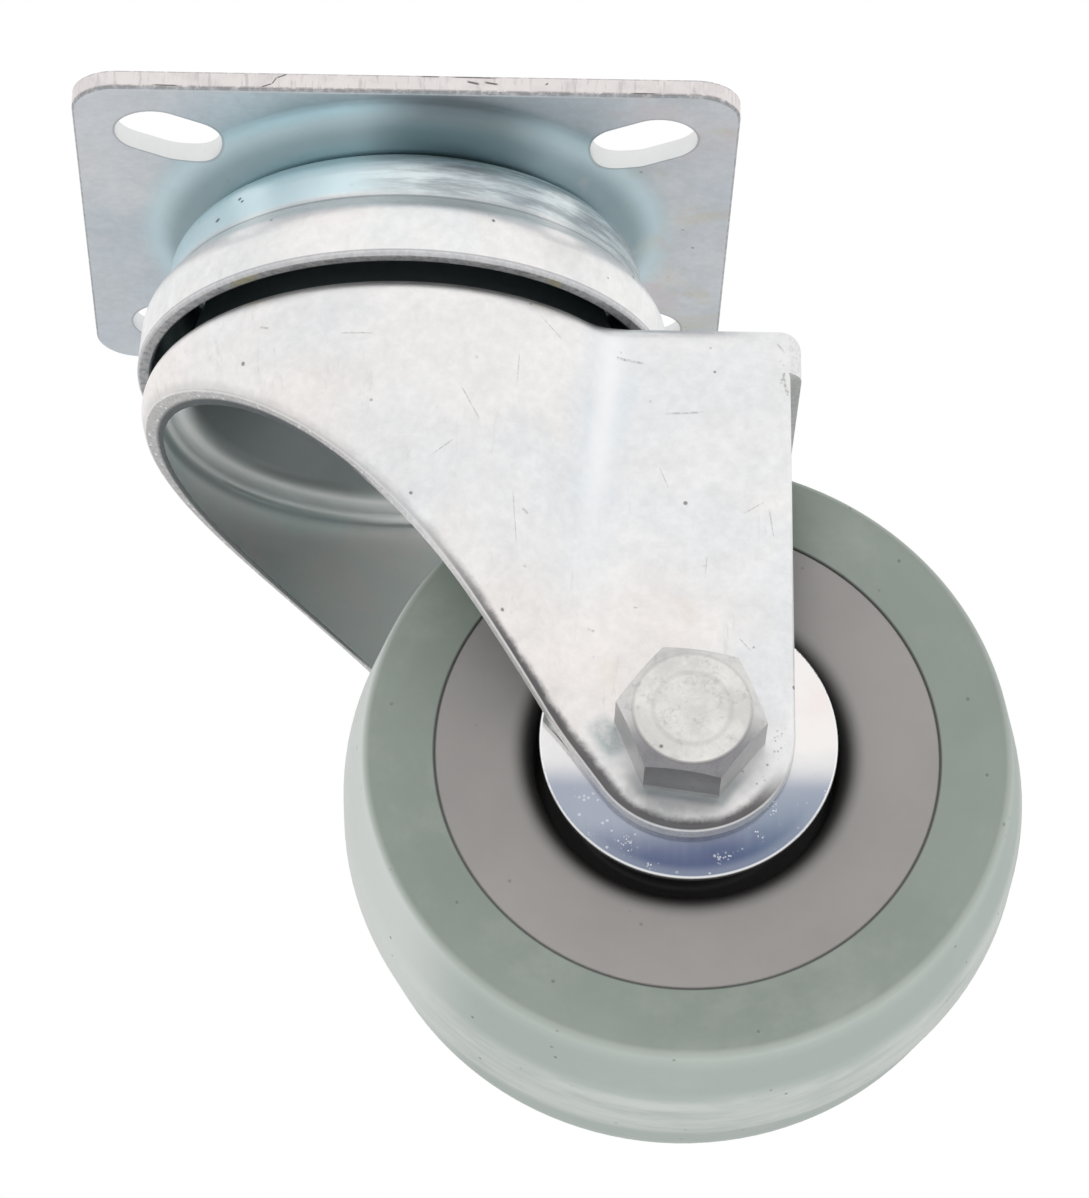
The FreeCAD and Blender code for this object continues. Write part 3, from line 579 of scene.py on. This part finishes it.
def fork_edge(paint, colour, inner, waver, grit):
    """The rolled border of the leg with a frayed painted dark reflection, its bright sheared edge with
    painted sparkle and painted shade on the cut's inner part; gives the edge's mask.
    """
    x, y, z = paint.spot
    inboard, down_slope, rear = fork_outline(paint)
    width = paint.plus(paint.times(paint.band(down_slope, -30.0 * MM, 0.0), SHEARED_WIDTH),
                       paint.band(waver, 0.3, 0.7, 0.0, SHEARED_WIDTH))
    # Painted dark reflection on the rolled border beside the cut.
    roll = paint.times(paint.band(inboard, 0.12 * MM, 0.3 * MM),
                       paint.fade(paint.minus(inboard, width), 0.1 * MM, 1.6 * MM), paint.inverse(inner))
    legward = paint.times(paint.band(x, 0.0, 18.0 * MM, 0.22, 1.0), paint.inverse(rear))
    turned = paint.times(paint.band(x, TRAIL + 4.0 * MM, TRAIL + 12.0 * MM),
                         paint.band(z, AXLE_Z - 12.0 * MM, AXLE_Z - 4.0 * MM))
    colour = paint.over(colour, (0.07, 0.065, 0.07), roll, legward, paint.inverse(turned), 0.9)

    cut = paint.fade(inboard, 0.02 * MM, 0.12 * MM)
    tone = paint.mix(paint.band(x, -15.0 * MM, 10.0 * MM), (0.66, 0.65, 0.65), (0.90, 0.89, 0.89))
    sheared = paint.over(tone, (0.38, 0.38, 0.38), paint.band(grit, 0.36, 0.66),
                         paint.band(x, -12.0 * MM, 12.0 * MM, 0.6, 0.25))
    # Painted sparkle on the sheared edge toward the front.
    painted_glints = paint.times(paint.dots(1300.0, 0.30, shift=(0.7, 0.7, 0.2)),
                         paint.band(x, 12.0 * MM, -4.0 * MM))
    sheared = paint.over(sheared, (0.95, 0.95, 0.95), painted_glints, 0.8)
    colour = paint.over(colour, sheared, cut, 0.9)
    hood = paint.plus(HOOD_RADIUS, paint.times(paint.minus(z, HOOD_Z), HOOD_LEAN))
    depth = paint.minus(hood, length_of(paint, x, y))
    # Painted shade on the inner part of the cut toward the front.
    hollow_shade = paint.times(paint.band(depth, 1.2 * MM, 1.9 * MM), paint.band(x, -1.0 * MM, -8.0 * MM))
    colour = paint.over(colour, (0.085, 0.10, 0.105), hollow_shade, cut, 0.92)
    return colour, cut


def fork_wear(paint, colour, patches, waver, grit):
    """Nicks, a painted shadow under the bolt's head, a dark blot, worn patches, stains and a patchy ring of
    painted shade below the bolt's head on the near leg.
    """
    x, y, z = paint.spot
    near = near_side(paint)
    nicks = paint.times(marks_on(paint, NEAR_LEG_MARKS), near, paint.band(grit, 0.36, 0.58, 0.25, 1.0))
    colour = paint.over(colour, (0.34, 0.32, 0.30), nicks, 0.55)
    # Painted shadow just below the flats of the bolt's head.
    shade = paint.times(paint.fade(hex_reach(paint), 0.6 * MM, 1.9 * MM), near,
                        paint.band(z, AXLE_Z - 4.5 * MM, AXLE_Z - 8.5 * MM))
    colour = paint.over(colour, (0.15, 0.23, 0.25), shade, 0.46)
    blot = paint.times(marks_on(paint, LEG_BLOT), near, paint.band(waver, 0.25, 0.6, 0.35, 1.0))
    colour = paint.over(colour, (0.27, 0.36, 0.37), blot, 0.62)
    worn = paint.times(marks_on(paint, LEG_WEAR), near, paint.dots(1900.0, 0.45, shift=(0.1, 0.8, 0.3)))
    colour = paint.over(colour, (0.33, 0.31, 0.30), worn, 0.6)
    colour = paint.over(colour, (0.80, 0.72, 0.62), marks_on(paint, LEG_STAINS), near, 0.25)
    from_bolt = from_axle(paint)
    # Patchy ring of painted shade round the bolt, below the axle.
    shade_ring = paint.times(paint.band(from_bolt, 10.5 * MM, 12.0 * MM),
                        paint.fade(from_bolt, 13.0 * MM, 14.6 * MM), near,
                        paint.band(patches, 0.3, 0.9),
                        paint.band(z, AXLE_Z + 4.0 * MM, AXLE_Z - 4.0 * MM))
    return paint.over(colour, (0.38, 0.37, 0.36), shade_ring, 0.35)


def fork_tune(paint, colour, roughness):
    """Pale legs with a worn near side and painted shade under the bolt's head, a painted highlight down the
    bend, a sheared edge with a painted dark reflection on the roll beside it, and a painted teal reflection
    inside.
    """
    x, y, z = paint.spot
    outward = paint.plus(paint.times(paint.normal[1], y),
                         paint.times(paint.normal[0], paint.math("MINIMUM", x, 0.0)))
    inner = paint.band(outward, -2.0 * MM, -10.0 * MM)
    patches = paint.band(paint.noise(55.0, 4.0, 0.65, 0.4, shift=(0.6, 0.1, 0.3)), 0.36, 0.62)
    waver = paint.noise(330.0, 4.0, 0.75, shift=(0.5, 0.2, 0.4))
    grit = paint.noise(1700.0, 3.0, 0.7)
    colour = fork_inside(paint, colour, inner, patches)
    colour = fork_crease(paint, colour)
    colour, cut = fork_edge(paint, colour, inner, waver, grit)
    colour = fork_wear(paint, colour, patches, waver, grit)
    paint.rise(paint.times(grit, cut), 0.08 * MM)
    return colour, paint.plus(roughness, paint.times(cut, 0.2))


def rubber_look():
    """Grey green rubber with a tread paler partly from dust and partly from painted light from below,
    painted highlights on the shoulder and crown, painted light on the tread's front, dark specks and a fine
    mould line.
    """
    paint = Paint("tyre_rubber", Specular_IOR_Level=0.35)
    x, y, z = paint.spot
    radius = from_axle(paint)
    clouds = paint.noise(30.0, 4.0, 0.6, 0.4)
    colour = paint.mix(paint.band(clouds, 0.3, 0.7), (0.222, 0.256, 0.226), (0.254, 0.290, 0.258))
    # The tread's paler colour is partly dust and partly painted light from below.
    tread = paint.times(paint.fade(paint.absolute(y), 17.2 * MM, 18.6 * MM),
                        paint.band(radius, 45.5 * MM, 47.5 * MM))
    colour = paint.over(colour, (0.40, 0.455, 0.425), tread, 0.85)
    # Painted highlight line on the tread's shoulder.
    crest_highlight = paint.times(paint.band(radius, 46.0 * MM, 46.8 * MM), paint.fade(radius, 47.2 * MM, 48.0 * MM))
    colour = paint.over(colour, (0.56, 0.60, 0.56), crest_highlight, 0.3)
    streaks = paint.noise(1.0, 4.0, 0.7, stretch=(70.0, 420.0, 70.0))
    # Streaky painted highlight on the crown's edge.
    crown = paint.times(paint.band(radius, 49.0 * MM, 49.85 * MM), paint.band(streaks, 0.3, 0.65, 0.3, 0.8))
    colour = paint.over(colour, (0.60, 0.63, 0.60), crown)
    # Painted light on the tread toward the front.
    colour = paint.over(colour, (0.64, 0.67, 0.65), tread, paint.band(x, 14.0 * MM, 0.0), 0.8)

    dusty = paint.band(paint.noise(75.0, 4.0, 0.7, shift=(0.3, 0.6, 0.2)), 0.45, 0.75)
    colour = paint.over(colour, (0.55, 0.57, 0.53), dusty, 0.12)
    pale = paint.specks(170.0, 0.05, 0.05, shift=(0.6, 0.2, 0.5))
    colour = paint.over(colour, (0.66, 0.68, 0.64), pale, 0.7)
    pits = paint.most(paint.specks(210.0, 0.08, 0.30),
                      paint.specks(420.0, 0.14, 0.10, shift=(0.2, 0.7, 0.1)))
    colour = paint.over(colour, (0.13, 0.12, 0.10), pits, 0.6)
    joint = paint.band(radius, 37.1 * MM, 36.8 * MM)
    colour = paint.over(colour, (0.05, 0.055, 0.05), joint, 0.9)
    paint.rise(paint.noise(1200.0, 3.0, 0.6), 0.02 * MM)
    paint.rise(paint.noise(160.0, 2.0, 0.5), 0.04 * MM)
    paint.rise(pits, -0.05 * MM)
    return paint.finish(colour, paint.band(clouds, 0.3, 0.7, 0.5, 0.6))


def hub_look():
    """Warm grey moulded plastic, lightly marked, with painted shade in the deep recess."""
    paint = Paint("hub_plastic", Specular_IOR_Level=0.4)
    clouds = paint.noise(35.0, 4.0, 0.6)
    colour = paint.mix(paint.band(clouds, 0.3, 0.7), (0.262, 0.250, 0.243), (0.300, 0.286, 0.278))
    # Painted shade in the recess round the disc.
    deep = paint.band(from_axle(paint), 26.2 * MM, 22.8 * MM)
    colour = paint.over(colour, (0.018, 0.017, 0.017), deep, 0.93)
    dirt = paint.most(paint.specks(230.0, 0.08, 0.22),
                      paint.specks(420.0, 0.14, 0.06, shift=(0.2, 0.1, 0.6)))
    colour = paint.over(colour, (0.12, 0.11, 0.10), dirt, 0.5)
    lint = paint.specks(120.0, 0.05, 0.04, shift=(0.9, 0.5, 0.2))
    colour = paint.over(colour, (0.62, 0.60, 0.57), lint, 0.7)
    paint.rise(paint.noise(1500.0, 2.0, 0.6), 0.012 * MM)
    return paint.finish(colour, paint.band(clouds, 0.3, 0.7, 0.45, 0.55))


def plain_look(name, colour, other, roughness, metallic=0.0, scale=60.0):
    """A small part's finish: two close tones, fine grain and slightly uneven gloss."""
    paint = Paint(name, metallic=metallic)
    clouds = paint.noise(scale, 3.0, 0.6)
    paint.rise(paint.noise(scale * 20, 2.0, 0.6), 0.01 * MM)
    mixed = paint.mix(paint.band(clouds, 0.3, 0.7), colour, other)
    return paint.finish(mixed, paint.band(clouds, 0.3, 0.7, roughness * 0.85, roughness * 1.15))


def bolt_head(paint, colour, radius, pits):
    """The head's pressed face, with painted shade on its downward faces, on the lower half of its chamfer,
    on its underside and along the face's rim, strongest low down.
    """
    x, y, z = paint.spot
    head = paint.band(y, -24.9 * MM, -25.2 * MM)
    facing = paint.times(paint.band(paint.normal[1], -0.6, -0.75), head)
    # Painted shade on the head's downward-facing surfaces.
    cone_shade = paint.times(paint.band(paint.normal[2], -0.06, -0.34), head)
    colour = paint.over(colour, (0.27, 0.26, 0.28), cone_shade, 0.5)
    flank = paint.times(paint.band(radius, 8.3 * MM, 8.7 * MM), facing)
    colour = paint.over(colour, (0.50, 0.50, 0.52), flank, 0.2)
    # Painted shade on the lower half of the chamfer, uneven with the pits.
    lower = paint.times(flank, paint.band(z, AXLE_Z + 1.0 * MM, AXLE_Z - 7.5 * MM))
    colour = paint.over(colour, (0.235, 0.23, 0.25), lower, paint.band(pits, 0.35, 0.6, 0.9, 0.7))
    pressed = paint.times(paint.band(paint.away(radius, HEAD_RING_RADIUS), 0.6 * MM, 0.1 * MM), facing)
    colour = paint.over(colour, (0.36, 0.35, 0.34), pressed, 0.2)
    front = paint.times(paint.band(y, -26.2 * MM, -25.7 * MM), head)
    # Painted shade on the head's underside.
    under = paint.times(paint.band(paint.normal[2], -0.6, -0.85), paint.inverse(front))
    colour = paint.over(colour, (0.23, 0.23, 0.24), under, 0.8)
    # A dark line round the face's rim, with painted shade making it strongest low down.
    rim_shade = paint.times(paint.band(paint.away(radius, HEAD_RIM_RADIUS), 0.35 * MM, 0.1 * MM),
                         paint.band(z, AXLE_Z + 2.0 * MM, AXLE_Z - 6.0 * MM, 0.35, 1.0), head)
    return paint.over(colour, (0.25, 0.24, 0.24), rim_shade, 0.55)


def bolt_look():
    """Forged and zinc plated: a pitted face with a pressed ring, painted shade on the head's downward
    faces, underside and rim, and a threaded end.
    """
    paint = Paint("bolt_steel", metallic=0.9)
    x, y, z = paint.spot
    clouds = paint.noise(140.0, 5.0, 0.75, 0.2)
    pits = paint.noise(640.0, 5.0, 0.8, shift=(0.3, 0.2, 0.8))
    colour = paint.mix(paint.band(clouds, 0.35, 0.68), (0.66, 0.65, 0.63), (0.84, 0.83, 0.80))
    pitted = paint.band(pits, 0.52, 0.74)
    colour = paint.over(colour, (0.42, 0.41, 0.40), pitted, 0.4)
    colour = bolt_head(paint, colour, from_axle(paint), pits)
    colour = paint.over(colour, (0.10, 0.10, 0.09), paint.specks(500.0, 0.2, 0.06), 0.7)
    ridge = paint.math("SINE", paint.times(y, 2 * math.pi / THREAD_PITCH))
    paint.rise(paint.times(ridge, paint.band(y, 34.0 * MM, 34.5 * MM)), 0.30 * MM)
    paint.rise(clouds, 0.10 * MM)
    paint.rise(pitted, -0.06 * MM)
    paint.rise(paint.noise(1500.0, 3.0, 0.6), 0.015 * MM)
    return paint.finish(colour, paint.band(clouds, 0.3, 0.7, 0.34, 0.5))


def disc_reflections(paint, colour, clouds):
    """Painted reflections on the polished disc: a deep blue lower half with a teal rear, a pale rosy upper
    half, a bright upper rear and a bright rim.
    """
    x, y, z = paint.spot
    brushed = paint.noise(1.0, 3.0, 0.6, stretch=(900.0, 900.0, 70.0))
    drop = paint.minus(AXLE_Z, z)
    tilt = paint.plus(drop, paint.times(paint.minus(x, TRAIL), 0.10))
    rear = paint.band(x, TRAIL + 4.0 * MM, TRAIL + 13.0 * MM)
    # Painted reflection: a blue haze below the axle.
    haze = paint.band(drop, 3.0 * MM, 8.2 * MM)
    colour = paint.over(colour, (0.31, 0.35, 0.44), haze, 0.85)
    patchy = paint.plus(paint.times(clouds, 0.7), paint.times(brushed, 0.3))
    # Painted reflection: deep blue toward the bottom, patchy with clouds and brushing.
    blue = paint.plus(paint.band(tilt, 8.5 * MM, 21.5 * MM), paint.times(patchy, 0.5))
    colour = paint.over(colour, (0.075, 0.10, 0.20), paint.band(blue, 0.30, 1.25), 0.9)
    # Painted reflection: teal toward the rear.
    teal = paint.times(rear, paint.band(tilt, 8.0 * MM, 13.0 * MM))
    colour = paint.over(colour, (0.08, 0.17, 0.27), teal, 0.25)
    # Painted reflection: bright at the upper rear.
    bright = paint.times(rear, paint.band(drop, 4.0 * MM, 0.0))
    colour = paint.over(colour, (0.93, 0.89, 0.87), bright, 0.8)
    # Painted reflection: a patchy rosy tint in the upper half.
    rosy = paint.times(paint.band(drop, 2.0 * MM, -6.0 * MM), paint.band(clouds, 0.45, 0.65))
    colour = paint.over(colour, (0.86, 0.76, 0.74), rosy, 0.4)
    radius = from_axle(paint)
    # Painted reflection: paler near the rim in the lower half.
    paler = paint.times(paint.band(radius, 19.4 * MM, 21.0 * MM), paint.band(drop, 6.0 * MM, 12.0 * MM))
    colour = paint.over(colour, (0.36, 0.40, 0.47), paler, 0.45)
    # Painted highlight along the disc's rim.
    return paint.over(colour, (0.92, 0.93, 0.95), paint.band(radius, 21.22 * MM, 21.40 * MM))


def disc_look():
    """Polished steel turned in fine rings about the axle, with a painted blue reflection and scuffs low
    down.
    """
    paint = Paint("polished_steel", metallic=1.0)
    x, y, z = paint.spot
    clouds = paint.noise(90.0, 3.0, 0.6)
    colour = paint.mix(paint.band(clouds, 0.3, 0.7), (0.76, 0.75, 0.76), (0.86, 0.85, 0.84))
    colour = disc_reflections(paint, colour, clouds)
    scuffs = paint.times(marks_on(paint, DISC_SCUFFS), paint.dots(2600.0, 0.5, shift=(0.4, 0.3, 0.9)),
                         paint.band(y, -20.0 * MM, -22.0 * MM, 0.0, 0.75))
    dust = paint.times(paint.dots(1500.0, 0.10), paint.band(clouds, 0.4, 0.6), 0.5)
    low = paint.band(z, AXLE_Z + 2.0 * MM, AXLE_Z - 4.0 * MM)
    colour = paint.over(colour, (0.80, 0.82, 0.84), paint.most(dust, scuffs), low)
    paint.rise(paint.rings(from_axle(paint), DISC_RING_SCALE), 0.003 * MM)
    return paint.finish(colour, paint.band(clouds, 0.3, 0.7, 0.10, 0.18))


def dress():
    """Gives every solid its finish."""
    plate = zinc_look("plate_zinc", (0.74, 0.76, 0.79), (0.63, 0.69, 0.74), (0.77, 0.77, 0.78), plate_tune)
    ring = zinc_look("ring_zinc", (0.90, 0.89, 0.88), (0.80, 0.85, 0.87), (0.89, 0.85, 0.84), ring_tune)
    fork = zinc_look("fork_zinc", (0.885, 0.865, 0.855), (0.82, 0.84, 0.86), (0.89, 0.85, 0.83), fork_tune)
    inside = zinc_look("inner_zinc", (0.80, 0.80, 0.80), (0.72, 0.77, 0.79), (0.80, 0.77, 0.75))
    bolt = bolt_look()
    disc = disc_look()
    bearing = plain_look("bearing_steel", (0.62, 0.62, 0.62), (0.74, 0.74, 0.73), 0.2, 1.0)
    cage = plain_look("cage_plastic", (0.03, 0.03, 0.033), (0.05, 0.05, 0.052), 0.5)
    nylon = plain_look("nylon", (0.74, 0.74, 0.70), (0.80, 0.80, 0.76), 0.45)
    looks = {"top_plate": plate, "raceway_ring": ring, "upper_balls": bearing, "fork": fork,
             "lower_balls": bearing, "lower_race_cup": inside, "kingpin": inside,
             "kingpin_spacer": bearing, "axle_bolt": bolt, "nut_washer": bolt, "axle_nut": bolt,
             "nut_insert": nylon, "axle_sleeve": bearing, "dust_disc_near": disc,
             "dust_disc_far": disc, "roller_cage": cage, "rollers": bearing,
             "wheel_hub": hub_look(), "tyre": rubber_look()}
    for name, look in looks.items():
        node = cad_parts[name]
        node.data.materials.clear()
        node.data.materials.append(look)


def place_camera():
    """The photo's view: below the castor and in front of it, looking up, with a slight roll."""
    ahead = Vector((math.sin(CAMERA_YAW) * math.cos(CAMERA_PITCH),
                    math.cos(CAMERA_YAW) * math.cos(CAMERA_PITCH), math.sin(CAMERA_PITCH)))
    level = Vector((math.cos(CAMERA_YAW), -math.sin(CAMERA_YAW), 0))
    plumb = ahead.cross(level)
    right = level * math.cos(CAMERA_ROLL) + plumb * math.sin(CAMERA_ROLL)
    down = plumb * math.cos(CAMERA_ROLL) - level * math.sin(CAMERA_ROLL)
    camera = bpy.data.objects.new("camera", bpy.data.cameras.new("camera"))
    bpy.context.scene.collection.objects.link(camera)
    turn = Matrix((right, -down, -ahead)).transposed().to_4x4()
    camera.matrix_world = Matrix.Translation(CAMERA_PLACE) @ turn
    camera.data.lens = CAMERA_LENS
    camera.data.sensor_width = CAMERA_SENSOR
    camera.data.clip_start = 0.05
    camera.data.clip_end = 50.0
    bpy.context.scene.camera = camera


def lay_floor():
    """A plain pale floor, well below the castor."""
    mesh = bpy.data.meshes.new("floor")
    mesh.from_pydata([(-FLOOR_HALF, -FLOOR_HALF, FLOOR_Z), (FLOOR_HALF, -FLOOR_HALF, FLOOR_Z),
                      (FLOOR_HALF, FLOOR_HALF, FLOOR_Z), (-FLOOR_HALF, FLOOR_HALF, FLOOR_Z)],
                     [], [(0, 1, 2, 3)])
    floor = bpy.data.objects.new("floor", mesh)
    bpy.context.scene.collection.objects.link(floor)
    paper = plain_look("floor_paper", (0.86, 0.86, 0.86), (0.88, 0.88, 0.88), 0.8, scale=3.0)
    mesh.materials.append(paper)


def hang_lamps():
    """Soft lamps that light the castor and aren't mirrored in it."""
    for name, place, aim, power, width in LAMPS:
        lamp = bpy.data.objects.new(name, bpy.data.lights.new(name, "AREA"))
        lamp.data.energy = power
        lamp.data.size = width
        lamp.visible_camera = False
        lamp.visible_glossy = False
        lamp.location = place
        lamp.rotation_euler = (Vector(aim) - Vector(place)).to_track_quat("-Z", "Y").to_euler()
        bpy.context.scene.collection.objects.link(lamp)


def surround():
    """A world that lights softly, and is white where the camera or a mirrored ray sees it."""
    world = bpy.data.worlds.new("surround")
    bpy.context.scene.world = world
    world.use_nodes = True
    tree = world.node_tree
    tree.nodes.clear()
    path = tree.nodes.new("ShaderNodeLightPath")
    seen = path.outputs["Is Camera Ray"]
    for ray in ("Is Glossy Ray", "Is Transmission Ray"):
        either = tree.nodes.new("ShaderNodeMath")
        either.operation = "MAXIMUM"
        tree.links.new(seen, either.inputs[0])
        tree.links.new(path.outputs[ray], either.inputs[1])
        seen = either.outputs[0]
    choose = tree.nodes.new("ShaderNodeMixShader")
    tree.links.new(seen, choose.inputs[0])
    for index, strength in enumerate((SURROUND_LIGHT, SURROUND_SEEN)):
        light = tree.nodes.new("ShaderNodeBackground")
        light.inputs["Color"].default_value = (1, 1, 1, 1)
        light.inputs["Strength"].default_value = strength
        tree.links.new(light.outputs[0], choose.inputs[index + 1])
    out = tree.nodes.new("ShaderNodeOutputWorld")
    tree.links.new(choose.outputs[0], out.inputs["Surface"])


place_camera()
lay_floor()
hang_lamps()
surround()
bpy.context.scene.view_settings.view_transform = "Standard"
dress()
